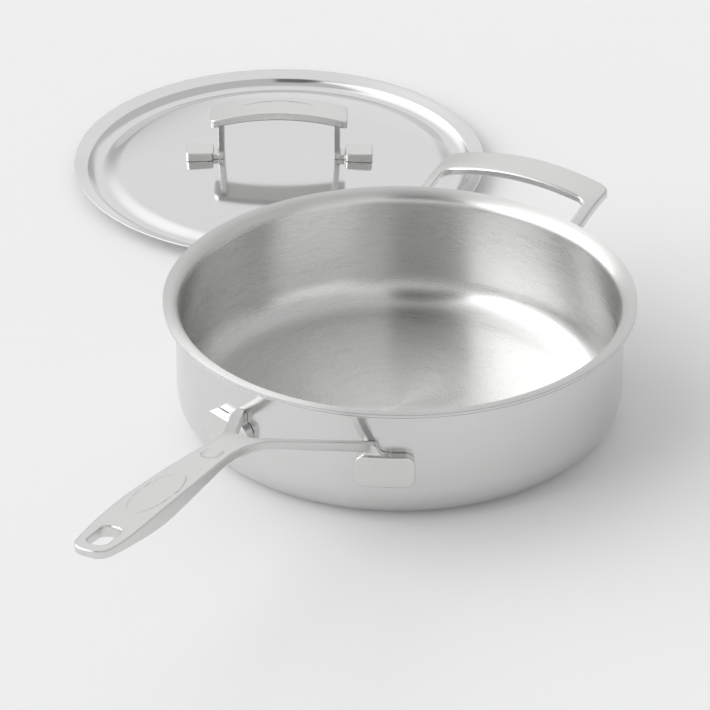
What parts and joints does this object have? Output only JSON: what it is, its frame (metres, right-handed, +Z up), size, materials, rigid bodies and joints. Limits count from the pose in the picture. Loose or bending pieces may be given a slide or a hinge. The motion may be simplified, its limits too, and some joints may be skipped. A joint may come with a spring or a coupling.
{
  "type": "saute pan with lid",
  "caption": "Straight-sided clad steel saute pan with a welded Y-shaped long handle, a helper loop opposite, and its domed flanged lid lying handle-up beside it.",
  "frame": {"origin": "centre of the underside of the pan's floor, on the surface it stands on", "axes": "+Z up out of the pan; +Y away from the viewer, towards the lid; +X to the viewer's right. The long handle points between -Y and -X, the helper loop opposite."},
  "size_m": [0.3821, 0.8607, 0.1276],
  "materials": {
    "inner_steel": "fine circular brushing",
    "bond_alloy": "sawn edge",
    "core_alloy": "sawn edge",
    "outer_steel": "satin polish",
    "handle_steel": "satin cast",
    "helper_steel": "satin cast",
    "lid_steel": "mirror polish",
    "lid_handle_steel": "satin cast"
  },
  "bodies": {
    "pan": {"pan_inner_ply": "inner_steel", "pan_upper_bond": "bond_alloy", "pan_core": "core_alloy", "pan_lower_bond": "bond_alloy", "pan_outer_ply": "outer_steel", "long_handle": "handle_steel", "helper_handle": "helper_steel"},
    "lid": {"lid_shell": "lid_steel", "lid_handle": "lid_handle_steel"}
  },
  "joints": [
    {"name": "lid_lift", "type": "slide", "parent": "pan", "child": "lid", "axis": [0, 0, 1], "range_m": [0, 0.2]}
  ]
}
